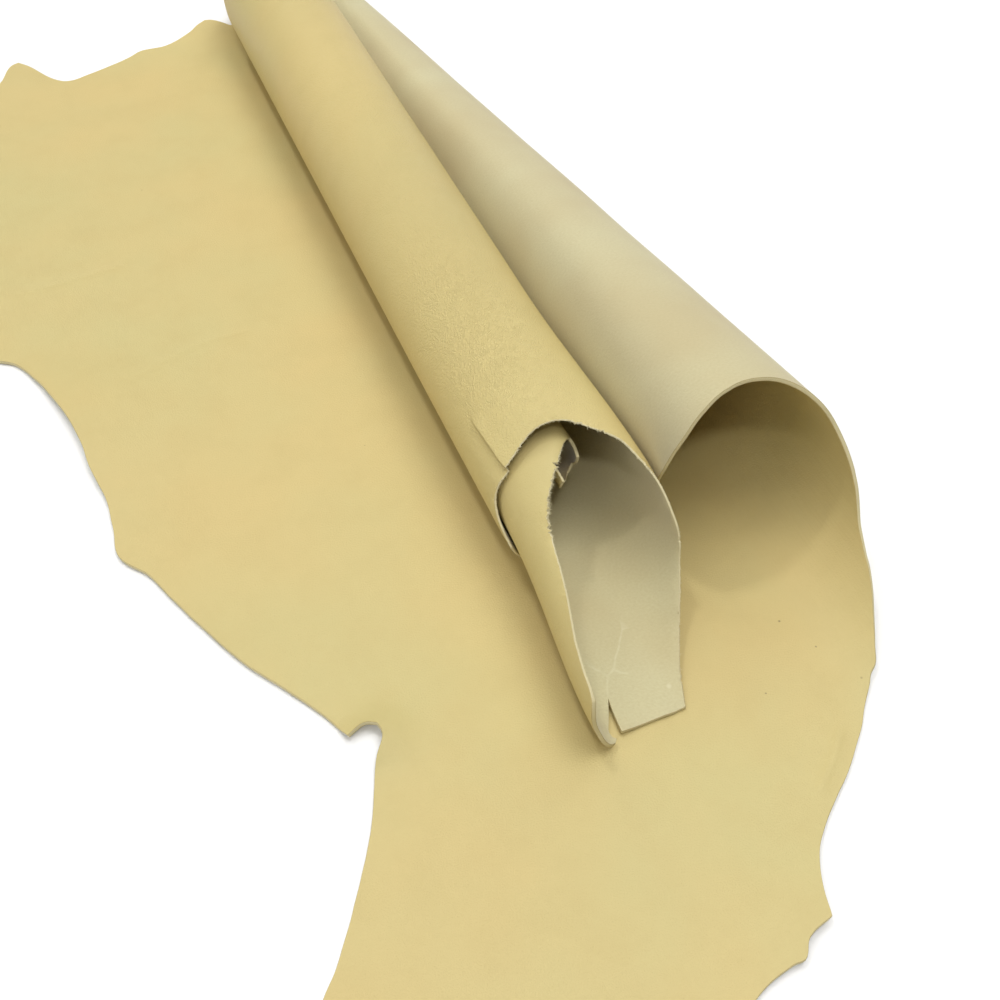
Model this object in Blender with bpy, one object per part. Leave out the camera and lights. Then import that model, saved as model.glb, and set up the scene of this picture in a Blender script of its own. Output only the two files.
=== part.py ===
"""A tanned leather hide: one sheet, grain side up, folded over in an open loop and rolled up."""
import math

import bmesh
import bpy
from mathutils import Vector
from mathutils.geometry import delaunay_2d_cdt

# Metres. The sheet is drawn flat: "along" runs across the roll, from the line where the sheet
# lifts off the floor, and y runs along the roll, from the end of the roll's tongue.
THICKNESS = 0.003
LAYER_GAP = 0.0006
FLAT_LEVEL = THICKNESS / 2
SECOND_LEVEL = FLAT_LEVEL + THICKNESS + LAYER_GAP

# The loop where the sheet folds over, wide at its near end and narrow at its far end.
# Columns: y, lift_x, side_x, side_z, crest_x, crest_z, wrap in degrees, with x from the roll's axis
NEAR_CREST_Z = 0.158
LOOP_SECTIONS = (
    (0.060, 0.115, 0.188, 0.072, 0.108, NEAR_CREST_Z, 105),
    (1.020, 0.082, 0.101, 0.016, 0.074, 0.033, 15),
)
RISE_LENGTH = 0.143
OVER_LENGTH = 0.135
ROLL_START = 0.498
CREST_PULL = 0.045
WRAP_PULL = 0.030
ROUND_PULL = 0.5523

# The sheet comes down the roll's right side, and turns from its underside up its left side and
# over its top.
# Columns: turn in degrees, radius in the roll, radius at the roll's mouth, radius at the tongue's end
ROLL_RADIUS = 0.0515
ROLL_TURNS = (
    (-105, 0.0551, 0.0582, 0.0572),
    (-60, 0.0546, 0.0552, 0.0556),
    (-17, 0.0522, 0.0524, 0.0530),
    (0, 0.0515, 0.0515, 0.0515),
    (195, 0.0515, 0.0515, 0.0515),
    (238, 0.0515, 0.0575, 0.0560),
    (256, 0.0515, 0.0545, 0.0535),
    (300, 0.0510, 0.0516, 0.0520),
    (343, 0.0486, 0.0488, 0.0538),
    (360, 0.0478, 0.0478, 0.0515),
    (385, 0.0474, 0.0474, 0.0565),
    (401, 0.0470, 0.0470, 0.0630),
    (420, 0.0466, 0.0466, 0.0590),
    (450, 0.0462, 0.0462, 0.0540),
    (480, 0.0445, 0.0445, 0.0480),
    (510, 0.0400, 0.0400, 0.0430),
    (543, 0.0365, 0.0365, 0.0385),
)
MOUTH_Y = 0.150
FULL_ROLL_Y = 0.350
CURL_START = 543
CURL_RADIUS = 0.0105
CURL_TURN = 285

AXIS_HEIGHT = SECOND_LEVEL + ROLL_RADIUS
DEGREE_LENGTH = ROLL_RADIUS * math.radians(1)
CURL_ALONG = ROLL_START + CURL_START * DEGREE_LENGTH

# The hide's outline, once round against the clock.
# Columns: x, y, round the near end and up the right edge
FLAT_RIGHT_EDGE = (
    (-0.256, -0.091),
    (-0.275, -0.125),
    (-0.270, -0.165),
    (-0.235, -0.200),
    (-0.180, -0.222),
    (-0.110, -0.225),
    (-0.060, -0.205),
    (-0.035, -0.180),
    (-0.005, -0.171),
    (0.002, -0.171),
    (0.011, -0.161),
    (0.029, -0.155),
    (0.035, -0.135),
    (0.046, -0.115),
    (0.062, -0.099),
    (0.090, -0.077),
)
# Columns: along, y, over the loop and under the roll
LOOP_EDGE = (
    (-0.010, -0.059),
    (0.015, -0.034),
    (0.031, -0.020),
    (0.037, -0.014),
    (0.051, 0.002),
    (0.082, 0.036),
    (0.112, 0.068),
    (0.143, 0.090),
    (0.173, 0.110),
    (0.204, 0.121),
    (0.234, 0.130),
    (0.265, 0.133),
    (0.290, 0.130),
    (0.314, 0.126),
    (0.338, 0.124),
    (0.362, 0.127),
    (0.386, 0.132),
    (0.404, 0.137),
    (0.440, 0.148),
)
# Columns: turn in degrees, y, round the roll's mouth and down the right of the tongue
MOUTH_EDGE = (
    (0, 0.152),
    (45, 0.145),
    (72, 0.142),
    (82, 0.155),
    (98, 0.166),
    (128, 0.171),
    (148, 0.178),
    (165, 0.183),
    (182, 0.182),
    (205, 0.169),
    (222, 0.158),
    (230, 0.143),
    (247, 0.115),
    (258, 0.100),
    (270, 0.093),
    (284, 0.086),
    (299, 0.072),
    (316, 0.052),
    (330, 0.031),
    (337, 0.015),
    (343, 0.001),
)
# Columns: turn in degrees, y, over the tongue's end with its slit and up the torn inner edge
TONGUE_EDGE = (
    (391, 0.000),
    (390.2, 0.016),
    (391.2, 0.024),
    (394, 0.015),
    (398, -0.001),
    (399, -0.007),
    (407, -0.008),
    (425, -0.006),
    (450, -0.002),
    (453, 0.003),
    (463, 0.036),
    (476, 0.067),
    (485, 0.099),
    (491, 0.118),
    (498, 0.130),
    (509, 0.143),
    (523, 0.156),
    (543, 0.174),
)
# Columns: turn in degrees from the curl's start, y
CURL_EDGE = (
    (45, 0.181),
    (78, 0.168),
    (118, 0.170),
    (180, 0.159),
    (285, 0.146),
    (285, 0.985),
    (60, 1.000),
)
# Columns: turn in degrees, y, along the roll's far end
FAR_MOUTH_EDGE = (
    (540, 1.005),
    (450, 1.020),
    (360, 1.035),
    (270, 1.050),
    (180, 1.030),
    (140, 1.000),
    (110, 0.965),
    (88, 0.938),
    (60, 0.932),
    (30, 0.975),
    (0, 1.010),
)
# Columns: along, y, back over the loop's far end
FAR_LOOP_EDGE = (
    (0.400, 1.040),
    (0.278, 1.060),
    (0.143, 1.050),
    (0.000, 1.030),
)
# Columns: x, y, along the far edge, round the left end and back down the left edge
FLAT_LEFT_EDGE = (
    (0.020, 1.018),
    (-0.040, 1.008),
    (-0.058, 1.029),
    (-0.065, 1.031),
    (-0.075, 1.023),
    (-0.088, 1.009),
    (-0.120, 0.988),
    (-0.147, 0.986),
    (-0.160, 0.977),
    (-0.186, 0.965),
    (-0.211, 0.956),
    (-0.226, 0.951),
    (-0.237, 0.953),
    (-0.269, 0.999),
    (-0.276, 1.007),
    (-0.283, 1.003),
    (-0.301, 0.967),
    (-0.340, 0.935),
    (-0.385, 0.870),
    (-0.412, 0.780),
    (-0.420, 0.680),
    (-0.410, 0.590),
    (-0.385, 0.535),
    (-0.356, 0.517),
    (-0.345, 0.509),
    (-0.331, 0.481),
    (-0.323, 0.457),
    (-0.313, 0.420),
    (-0.308, 0.388),
    (-0.306, 0.358),
    (-0.301, 0.329),
    (-0.301, 0.299),
    (-0.302, 0.268),
    (-0.286, 0.244),
    (-0.274, 0.215),
    (-0.254, 0.170),
    (-0.241, 0.144),
    (-0.221, 0.114),
    (-0.202, 0.083),
    (-0.193, 0.063),
    (-0.181, 0.066),
    (-0.174, 0.062),
    (-0.173, 0.054),
    (-0.182, 0.040),
    (-0.194, 0.010),
    (-0.201, -0.006),
    (-0.224, -0.046),
    (-0.245, -0.078),
)

# Where the edge of the flat part stands a little off the floor.
# Columns: x, y, reach, height
EDGE_LIFTS = (
    (-0.315, 0.410, 0.110, 0.007),
    (-0.310, 0.990, 0.100, 0.003),
    (-0.176, 0.056, 0.030, 0.009),
    (0.040, -0.170, 0.080, 0.004),
)

EDGE_STEP = 0.030
ROW_STEP = 0.070
FLAT_STEP = 0.070
LOOP_STEP = 0.016
TURN_STEP = 12
FIRST_TURN = -108
CURL_STEP = 25
MARGIN = 0.006
MERGE_DISTANCE = 1e-6
NORMAL_STEP = 0.0002

LEATHER_COLOUR = (0.70, 0.54, 0.27, 1.0)
LEATHER_ROUGHNESS = 0.6
SHARP_ANGLE = 50


def straight_row(table, value):
    """The row of a two-row table at a value of its first column, carried on past both rows."""
    low, high = table
    share = (value - low[0]) / (high[0] - low[0])
    return [a + (b - a) * share for a, b in zip(low[1:], high[1:])]


def smooth_row(table, value):
    """The row of a table at a value of its first column, on a smooth curve through its rows."""
    last = len(table) - 1
    index = 0
    while index < last - 1 and value > table[index + 1][0]:
        index += 1
    before, low, high, after = (table[min(max(index + k, 0), last)] for k in (-1, 0, 1, 2))
    span = high[0] - low[0]
    share = min(max((value - low[0]) / span, 0), 1)
    row = []
    for column in range(1, len(low)):
        leave = (high[column] - before[column]) / (high[0] - before[0]) * span
        arrive = (after[column] - low[column]) / (after[0] - low[0]) * span
        rise = high[column] - low[column]
        curve = leave + (3 * rise - 2 * leave - arrive) * share + (leave + arrive - 2 * rise) * share**2
        row.append(low[column] + share * curve)
    return row


def smooth_share(value):
    value = min(max(value, 0), 1)
    return value * value * (3 - 2 * value)


def bezier(start, leave, arrive, end, share):
    rest = 1 - share
    near_half = start * rest**3 + leave * (3 * rest**2 * share)
    return near_half + arrive * (3 * rest * share**2) + end * share**3


def quarter_ellipse(start, end, corner, share):
    """A quarter of an ellipse between two points, inside the corner where its tangents meet."""
    leave = start.lerp(corner, ROUND_PULL)
    arrive = end.lerp(corner, ROUND_PULL)
    return bezier(start, leave, arrive, end, share)


def flat_point(along, y):
    """The flat part, with its edge a little off the floor in places."""
    x = straight_row(LOOP_SECTIONS, y)[0] + along
    height = FLAT_LEVEL
    for lift_x, lift_y, reach, lift in EDGE_LIFTS:
        distance = math.hypot(x - lift_x, y - lift_y) / reach
        height += lift * (1 - min(distance, 1) ** 2) ** 2
    return Vector((x, height))


def loop_point(along, y):
    """The loop's section: it rises, goes over and falls to lean against the roll."""
    lift_x, side_x, side_z, crest_x, crest_z, wrap = straight_row(LOOP_SECTIONS, y)
    lift = Vector((lift_x, FLAT_LEVEL))
    side = Vector((side_x, side_z))
    crest = Vector((crest_x, crest_z))
    if along < RISE_LENGTH:
        return quarter_ellipse(lift, side, Vector((side_x, FLAT_LEVEL)), along / RISE_LENGTH)
    along -= RISE_LENGTH
    if along < OVER_LENGTH:
        return quarter_ellipse(side, crest, Vector((side_x, crest_z)), along / OVER_LENGTH)
    along -= OVER_LENGTH
    size = (crest_z - SECOND_LEVEL) / (NEAR_CREST_Z - SECOND_LEVEL)
    leave = crest - Vector((CREST_PULL * size, 0))
    touch = turn_point(-wrap, y)
    arrive = touch + (touch - turn_point(1 - wrap, y)).normalized() * WRAP_PULL
    fall_length = ROLL_START - wrap * DEGREE_LENGTH - RISE_LENGTH - OVER_LENGTH
    return bezier(crest, leave, arrive, touch, along / fall_length)


def turn_point(turn, y):
    """The roll's section. Its inner turn opens towards the end of the tongue."""
    rolled, mouth, open_end = smooth_row(ROLL_TURNS, turn)
    radius = open_end + (mouth - open_end) * smooth_share(y / MOUTH_Y)
    radius += (rolled - mouth) * smooth_share((y - MOUTH_Y) / (FULL_ROLL_Y - MOUTH_Y))
    angle = math.radians(-90 - turn)
    return Vector((radius * math.cos(angle), AXIS_HEIGHT + radius * math.sin(angle)))


def curl_point(angle, y):
    """The tight curl at the sheet's inner end, which carries on from the last turn."""
    start = turn_point(CURL_START, y)
    ahead = (start - turn_point(CURL_START - 1, y)).normalized()
    inward = Vector((ahead.y, -ahead.x))
    return start + CURL_RADIUS * (math.sin(angle) * ahead + (1 - math.cos(angle)) * inward)


def fold(along, y):
    """Where a point of the flat sheet lies once the hide is folded and rolled."""
    turn = (along - ROLL_START) / DEGREE_LENGTH
    wrap = straight_row(LOOP_SECTIONS, y)[-1]
    if along < 0:
        section = flat_point(along, y)
    elif turn < -wrap:
        section = loop_point(along, y)
    elif along < CURL_ALONG:
        section = turn_point(turn, y)
    else:
        section = curl_point((along - CURL_ALONG) / CURL_RADIUS, y)
    return Vector((section.x, y, section.y))


def normal_at(along, y):
    """The direction that the grain side faces."""
    across = fold(along + NORMAL_STEP, y) - fold(along - NORMAL_STEP, y)
    ahead = fold(along, y + NORMAL_STEP) - fold(along, y - NORMAL_STEP)
    return across.cross(ahead).normalized()


def outline():
    """The hide's outline on the flat sheet, as points (along, y)."""
    points = []
    for x, y in FLAT_RIGHT_EDGE:
        points.append((x - straight_row(LOOP_SECTIONS, y)[0], y))
    points += LOOP_EDGE
    for turn, y in MOUTH_EDGE + TONGUE_EDGE:
        points.append((ROLL_START + turn * DEGREE_LENGTH, y))
    for turn, y in CURL_EDGE:
        points.append((CURL_ALONG + CURL_RADIUS * math.radians(turn), y))
    for turn, y in FAR_MOUTH_EDGE:
        points.append((ROLL_START + turn * DEGREE_LENGTH, y))
    points += FAR_LOOP_EDGE
    for x, y in FLAT_LEFT_EDGE:
        points.append((x - straight_row(LOOP_SECTIONS, y)[0], y))
    return points


def split_places(start, end, stations):
    """Shares of an outline side where it crosses a station or grows longer than a step."""
    length = math.hypot(end[0] - start[0], end[1] - start[1])
    pieces = max(1, math.ceil(length / EDGE_STEP))
    shares = [index / pieces for index in range(pieces)]
    for station in stations:
        if min(start[0], end[0]) < station < max(start[0], end[0]):
            crossing = (station - start[0]) / (end[0] - start[0])
            shares = [s for s in shares if s == 0 or abs(s - crossing) * length > MARGIN / 2]
            shares.append(crossing)
    return sorted(shares)


def is_inside(along, y, polygon):
    inside = False
    for (a0, y0), (a1, y1) in zip(polygon, polygon[1:] + polygon[:1]):
        if (y0 > y) != (y1 > y) and along < a0 + (a1 - a0) * (y - y0) / (y1 - y0):
            inside = not inside
    return inside


def station_list(first):
    """Places along the sheet where it is divided: wide apart on the flat, close on the roll."""
    stations = []
    flat_count = math.ceil(-first / FLAT_STEP)
    stations += [-index * FLAT_STEP for index in range(flat_count, 0, -1)]
    crest = RISE_LENGTH + OVER_LENGTH
    touch = ROLL_START + FIRST_TURN * DEGREE_LENGTH
    for start, end in ((0, RISE_LENGTH), (RISE_LENGTH, crest), (crest, touch)):
        count = round((end - start) / LOOP_STEP)
        stations += [start + (end - start) * index / count for index in range(count)]
    stations += [ROLL_START + turn * DEGREE_LENGTH for turn in range(FIRST_TURN, CURL_START, TURN_STEP)]
    curl_turns = range(0, CURL_TURN, CURL_STEP)
    stations += [CURL_ALONG + CURL_RADIUS * math.radians(turn) for turn in curl_turns]
    return stations


def flat_pattern():
    """The sheet divided into triangles on the flat, with sides along every station."""
    corners = outline()
    stations = station_list(min(along for along, y in corners))
    points = []
    for start, end in zip(corners, corners[1:] + corners[:1]):
        for share in split_places(start, end, stations):
            points.append((start[0] + (end[0] - start[0]) * share, start[1] + (end[1] - start[1]) * share))
    rim_count = len(points)
    lowest = min(y for along, y in points)
    highest = max(y for along, y in points)
    rows = math.ceil((highest - lowest) / ROW_STEP)
    sides = []
    for station in stations:
        on_line = [index for index in range(rim_count) if abs(points[index][0] - station) < MERGE_DISTANCE]
        levels = [points[index][1] for index in on_line]
        for row in range(1, rows):
            y = lowest + (highest - lowest) * row / rows
            clear = all(abs(y - level) > MARGIN for level in levels)
            if clear and is_inside(station, y, points[:rim_count]):
                on_line.append(len(points))
                points.append((station, y))
        on_line.sort(key=lambda index: points[index][1])
        for low, high in zip(on_line, on_line[1:]):
            middle = (points[low][1] + points[high][1]) / 2
            if is_inside(station, middle, points[:rim_count]):
                sides.append((low, high))
    flat = [Vector(point) for point in points]
    rim = [list(range(rim_count))]
    found, _, triangles, _, _, _ = delaunay_2d_cdt(flat, sides, rim, 1, MERGE_DISTANCE)
    return found, triangles


def build_sheet(name):
    """The closed sheet: the pattern folded up, once on each side, and joined round its edge."""
    found, triangles = flat_pattern()
    bm = bmesh.new()
    grain = []
    flesh = []
    for along, y in found:
        middle = fold(along, y)
        offset = normal_at(along, y) * (THICKNESS / 2)
        grain.append(bm.verts.new(middle + offset))
        flesh.append(bm.verts.new(middle - offset))
    for a, b, c in triangles:
        bm.faces.new((grain[a], grain[b], grain[c]))
        bm.faces.new((flesh[c], flesh[b], flesh[a]))
    bm.edges.ensure_lookup_table()
    index_of = {vert: index for index, vert in enumerate(grain)}
    rim = [edge for edge in bm.edges if edge.is_boundary and edge.verts[0] in index_of]
    for edge in rim:
        loop = edge.link_loops[0]
        start = index_of[loop.vert]
        end = index_of[loop.link_loop_next.vert]
        bm.faces.new((grain[end], grain[start], flesh[start], flesh[end]))
    mesh = bpy.data.meshes.new(name)
    bm.to_mesh(mesh)
    bm.free()
    return mesh


def centre_on_floor(mesh):
    """Move the mesh so that the origin is at the middle of its box, on the floor."""
    low = Vector([min(vertex.co[axis] for vertex in mesh.vertices) for axis in range(3)])
    high = Vector([max(vertex.co[axis] for vertex in mesh.vertices) for axis in range(3)])
    middle = (low + high) / 2
    for vertex in mesh.vertices:
        vertex.co -= Vector((middle.x, middle.y, low.z))
    print("size", [round(side, 4) for side in high - low], "moved", [round(v, 4) for v in middle])


def leather_material():
    material = bpy.data.materials.new("leather")
    material.use_nodes = True
    shader = material.node_tree.nodes["Principled BSDF"]
    shader.inputs["Base Color"].default_value = LEATHER_COLOUR
    shader.inputs["Roughness"].default_value = LEATHER_ROUGHNESS
    shader.inputs["Metallic"].default_value = 0.0
    return material


def main():
    for item in list(bpy.data.objects):
        bpy.data.objects.remove(item)
    mesh = build_sheet("hide")
    centre_on_floor(mesh)
    mesh.shade_smooth()
    mesh.set_sharp_from_angle(angle=math.radians(SHARP_ANGLE))
    mesh.materials.append(leather_material())
    bpy.context.scene.collection.objects.link(bpy.data.objects.new("hide", mesh))


main()
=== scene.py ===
# %% [markdown]
# A leather hide, folded over and rolled up.
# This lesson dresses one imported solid. The solid has the right size and place, but its facets
# are coarse, so the same hide is made again here from a finer pattern, with its torn edges, its
# creases, its grain and its nap. The frame comes first, because everything is placed from it.

import math
import random

import bmesh
import bpy
import numpy as np
from mathutils import Matrix, Vector, kdtree, noise
from mathutils.geometry import delaunay_2d_cdt


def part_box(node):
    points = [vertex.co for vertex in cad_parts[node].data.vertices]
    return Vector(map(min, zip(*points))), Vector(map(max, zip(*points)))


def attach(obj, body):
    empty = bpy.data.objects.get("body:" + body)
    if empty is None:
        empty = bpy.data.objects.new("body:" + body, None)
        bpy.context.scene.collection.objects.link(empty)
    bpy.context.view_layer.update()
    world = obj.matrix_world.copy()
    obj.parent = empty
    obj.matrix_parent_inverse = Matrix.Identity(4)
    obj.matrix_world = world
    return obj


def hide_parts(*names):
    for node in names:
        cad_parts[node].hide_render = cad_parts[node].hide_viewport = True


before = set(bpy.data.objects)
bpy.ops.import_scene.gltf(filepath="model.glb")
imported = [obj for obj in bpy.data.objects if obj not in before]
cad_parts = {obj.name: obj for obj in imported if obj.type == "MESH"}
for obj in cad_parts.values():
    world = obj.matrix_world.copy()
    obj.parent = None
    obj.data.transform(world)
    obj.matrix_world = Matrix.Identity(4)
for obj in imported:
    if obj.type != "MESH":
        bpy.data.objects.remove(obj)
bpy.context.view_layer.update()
hide_low, hide_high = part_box("hide")
print("solid box", [round(side, 4) for side in hide_high - hide_low])

# %% [markdown]
# The hide is drawn about the roll's axis: x runs across the roll from its axis, y runs along the
# roll from the cut end of its tongue, and z is the height above the floor. One shift takes that
# drawing to the frame, and it is read from the solid's own box.

# %% The drawing's place in the frame
DRAWING_LOW = Vector((-0.420, -0.225, 0.0))
shift = hide_low - DRAWING_LOW
print("shift from drawing to frame", [round(part, 4) for part in shift])

# %% [markdown]
# The camera stands close above the near end and looks down along the roll. Its angles come from
# the roll's two straight sides, which run together at their vanishing point. A 45 mm lens on a
# 36 mm sensor is 1250 pixels long in a picture 1000 pixels wide.

# %% Camera
CAMERA_PLACE = Vector((-0.261, -0.365, 0.700))
CAMERA_PITCH_DEG = 48.0
CAMERA_YAW_DEG = 21.9
LENS_MM = 45.0
SENSOR_MM = 36.0


def new_object(name, data):
    made = bpy.data.objects.new(name, data)
    bpy.context.scene.collection.objects.link(made)
    return made


camera_data = bpy.data.cameras.new("camera")
camera_data.lens = LENS_MM
camera_data.sensor_width = SENSOR_MM
camera = new_object("camera", camera_data)
camera.location = CAMERA_PLACE + shift
camera.rotation_euler = (math.radians(90 - CAMERA_PITCH_DEG), 0, -math.radians(CAMERA_YAW_DEG))
bpy.context.scene.camera = camera
print("camera at", [round(part, 3) for part in camera.location])

# %% [markdown]
# A hide is one sheet, about 3 mm thick. Here it lies grain side up, lifts off the floor into an
# open loop, comes back flesh side up and ends in a roll. A cloth simulation would let it slump,
# while real leather of this weight holds its curves, so the fold is drawn as sections instead:
# a row of sizes for each section, with smooth curves between the rows.

# %% Sizes of the sheet and its fold
THICKNESS = 0.003
LAYER_GAP = 0.0006
FLAT_LEVEL = THICKNESS / 2
SECOND_LEVEL = FLAT_LEVEL + THICKNESS + LAYER_GAP

# Columns: y, lift_x, side_x, side_z, crest_x, crest_z, wrap in degrees
NEAR_CREST_Z = 0.158
LOOP_SECTIONS = (
    (0.060, 0.115, 0.188, 0.072, 0.108, NEAR_CREST_Z, 105),
    (1.020, 0.082, 0.101, 0.016, 0.074, 0.033, 15),
)
RISE_LENGTH = 0.143
OVER_LENGTH = 0.135
ROLL_START = 0.498
CREST_PULL = 0.045
WRAP_PULL = 0.030
ROUND_PULL = 0.5523

# Columns: turn in degrees, radius in the roll, radius at its mouth, radius at the tongue's end
ROLL_RADIUS = 0.0515
ROLL_TURNS = (
    (-105, 0.0551, 0.0582, 0.0572),
    (-60, 0.0546, 0.0552, 0.0556),
    (-17, 0.0522, 0.0524, 0.0530),
    (0, 0.0515, 0.0515, 0.0515),
    (195, 0.0515, 0.0515, 0.0515),
    (238, 0.0515, 0.0575, 0.0560),
    (256, 0.0515, 0.0545, 0.0535),
    (300, 0.0510, 0.0516, 0.0520),
    (343, 0.0486, 0.0488, 0.0538),
    (360, 0.0478, 0.0478, 0.0515),
    (385, 0.0474, 0.0474, 0.0565),
    (401, 0.0470, 0.0470, 0.0630),
    (420, 0.0466, 0.0466, 0.0590),
    (450, 0.0462, 0.0462, 0.0540),
    (480, 0.0445, 0.0445, 0.0480),
    (510, 0.0400, 0.0400, 0.0430),
    (543, 0.0365, 0.0365, 0.0385),
)
MOUTH_Y = 0.150
FULL_ROLL_Y = 0.350
CURL_START = 543
CURL_RADIUS = 0.0105
CURL_TURN = 285
# The curl is a little wider just inside its end
CURL_FLARE = 0.0026
FLARE_Y = 0.179
FLARE_REACH = 0.016

AXIS_HEIGHT = SECOND_LEVEL + ROLL_RADIUS
DEGREE_LENGTH = ROLL_RADIUS * math.radians(1)
CURL_ALONG = ROLL_START + CURL_START * DEGREE_LENGTH
print("the roll starts", round(ROLL_START, 3), "m past the lift line")

# %% [markdown]
# Small helpers read those tables. The loop is a cone-like surface, so a straight line between its
# two sections is right. The roll's radius changes smoothly as it winds, so a smooth curve through
# its rows is right there. Two more helpers shape soft steps and soft bumps.

# %% Reading the tables
def straight_row(table, value):
    """The row of a two-row table at a value of its first column, carried on past both rows."""
    low, high = table
    share = (value - low[0]) / (high[0] - low[0])
    return [a + (b - a) * share for a, b in zip(low[1:], high[1:])]


def lift_x_at(y):
    """How far across from the roll's axis the sheet lifts off the floor."""
    return straight_row(LOOP_SECTIONS, y)[0]


def wrap_at(y):
    """How far round the roll, back from its underside, the sheet touches it."""
    return straight_row(LOOP_SECTIONS, y)[-1]


def smooth_row(table, value):
    """The row of a table at a value of its first column, on a smooth curve through its rows."""
    last = len(table) - 1
    index = 0
    while index < last - 1 and value > table[index + 1][0]:
        index += 1
    before, low, high, after = (table[min(max(index + k, 0), last)] for k in (-1, 0, 1, 2))
    span = high[0] - low[0]
    share = min(max((value - low[0]) / span, 0), 1)
    row = []
    for column in range(1, len(low)):
        leave = (high[column] - before[column]) / (high[0] - before[0]) * span
        arrive = (after[column] - low[column]) / (after[0] - low[0]) * span
        rise = high[column] - low[column]
        curve = leave + (3 * rise - 2 * leave - arrive) * share + (leave + arrive - 2 * rise) * share**2
        row.append(low[column] + share * curve)
    return row


def smooth_share(value):
    """Nought below 0, one above 1 and a soft step between."""
    value = min(max(value, 0), 1)
    return value * value * (3 - 2 * value)


def bump_share(distance):
    """One at a distance of 0, nought from 1 on and a soft bump between."""
    return (1 - min(distance, 1) ** 2) ** 2


print("roll radius half way up its left side", round(smooth_row(ROLL_TURNS, 90)[0], 4))

# %% [markdown]
# The folding itself is one function: it takes a place on the flat sheet and says where that place
# lies once the hide is folded. "along" runs across the roll, from the line where the sheet lifts
# off the floor. The flat part comes first, with its edge a little off the floor in places.

# %% The flat part
# Columns: x, y, reach, height
EDGE_LIFTS = (
    (-0.315, 0.410, 0.110, 0.007),
    (-0.310, 0.990, 0.100, 0.003),
    (-0.176, 0.056, 0.030, 0.009),
    (0.040, -0.170, 0.080, 0.004),
)


def flat_point(along, y):
    x = lift_x_at(y) + along
    height = FLAT_LEVEL
    for lift_x, lift_y, reach, lift in EDGE_LIFTS:
        distance = math.hypot(x - lift_x, y - lift_y) / reach
        height += lift * bump_share(distance)
    return Vector((x, height))


print("the sheet lifts off the floor at x", round(flat_point(0, 0.06)[0], 3))

# %% [markdown]
# The sheet comes down the roll's right side, where the turns are counted below nought, and winds
# once and a half round, up the left side and over the top. Its inner turn opens towards the near
# end, where it sticks out as a tongue.

# %% The roll
def turn_point(turn, y):
    rolled, mouth, open_end = smooth_row(ROLL_TURNS, turn)
    radius = open_end + (mouth - open_end) * smooth_share(y / MOUTH_Y)
    radius += (rolled - mouth) * smooth_share((y - MOUTH_Y) / (FULL_ROLL_Y - MOUTH_Y))
    angle = math.radians(-90 - turn)
    return Vector((radius * math.cos(angle), AXIS_HEIGHT + radius * math.sin(angle)))


print("underside of the roll at", [round(part, 4) for part in turn_point(0, 0.5)])

# %% [markdown]
# The loop is two quarter ellipses, up its side and over its crest, and then one long curve that
# falls until it leans against the roll. Leather bends in such even curves because it is springy.

# %% The loop
def bezier(start, leave, arrive, end, share):
    rest = 1 - share
    near_half = start * rest**3 + leave * (3 * rest**2 * share)
    return near_half + arrive * (3 * rest * share**2) + end * share**3


def quarter_ellipse(start, end, corner, share):
    """A quarter of an ellipse between two points, inside the corner where its tangents meet."""
    leave = start.lerp(corner, ROUND_PULL)
    arrive = end.lerp(corner, ROUND_PULL)
    return bezier(start, leave, arrive, end, share)


def loop_point(along, y):
    lift_x, side_x, side_z, crest_x, crest_z, wrap = straight_row(LOOP_SECTIONS, y)
    lift = Vector((lift_x, FLAT_LEVEL))
    side = Vector((side_x, side_z))
    crest = Vector((crest_x, crest_z))
    if along < RISE_LENGTH:
        return quarter_ellipse(lift, side, Vector((side_x, FLAT_LEVEL)), along / RISE_LENGTH)
    along -= RISE_LENGTH
    if along < OVER_LENGTH:
        return quarter_ellipse(side, crest, Vector((side_x, crest_z)), along / OVER_LENGTH)
    along -= OVER_LENGTH
    size = (crest_z - SECOND_LEVEL) / (NEAR_CREST_Z - SECOND_LEVEL)
    leave = crest - Vector((CREST_PULL * size, 0))
    touch = turn_point(-wrap, y)
    arrive = touch + (touch - turn_point(1 - wrap, y)).normalized() * WRAP_PULL
    fall_length = ROLL_START - wrap * DEGREE_LENGTH - RISE_LENGTH - OVER_LENGTH
    return bezier(crest, leave, arrive, touch, along / fall_length)


print("loop crest height", round(loop_point(RISE_LENGTH + OVER_LENGTH, 0.06)[1], 3))

# %% [markdown]
# The very end of the sheet, inside the roll, curls up tight. With that the fold is whole: one
# function takes every place of the flat sheet to where it lies.

# %% The curl and the whole fold
def curl_point(angle, y):
    start = turn_point(CURL_START, y)
    ahead = (start - turn_point(CURL_START - 1, y)).normalized()
    inward = Vector((ahead.y, -ahead.x))
    radius = CURL_RADIUS + CURL_FLARE * (1 - smooth_share(abs(y - FLARE_Y) / FLARE_REACH))
    return start + radius * (math.sin(angle) * ahead + (1 - math.cos(angle)) * inward)


def at_turn(turn):
    """How far along the sheet a turn of the roll is."""
    return ROLL_START + turn * DEGREE_LENGTH


def turn_at(along):
    """Which turn of the roll a place along the sheet is at."""
    return (along - ROLL_START) / DEGREE_LENGTH


def at_curl(turn):
    """How far along the sheet a turn of the curl is, counted from the curl's start."""
    return CURL_ALONG + CURL_RADIUS * math.radians(turn)


def fold(along, y):
    """Where a point of the flat sheet lies once the hide is folded and rolled."""
    turn = turn_at(along)
    if along < 0:
        section = flat_point(along, y)
    elif turn < -wrap_at(y):
        section = loop_point(along, y)
    elif along < CURL_ALONG:
        section = turn_point(turn, y)
    else:
        section = curl_point((along - CURL_ALONG) / CURL_RADIUS, y)
    return Vector((section.x, y, section.y))


NORMAL_STEP = 0.0002


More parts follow.
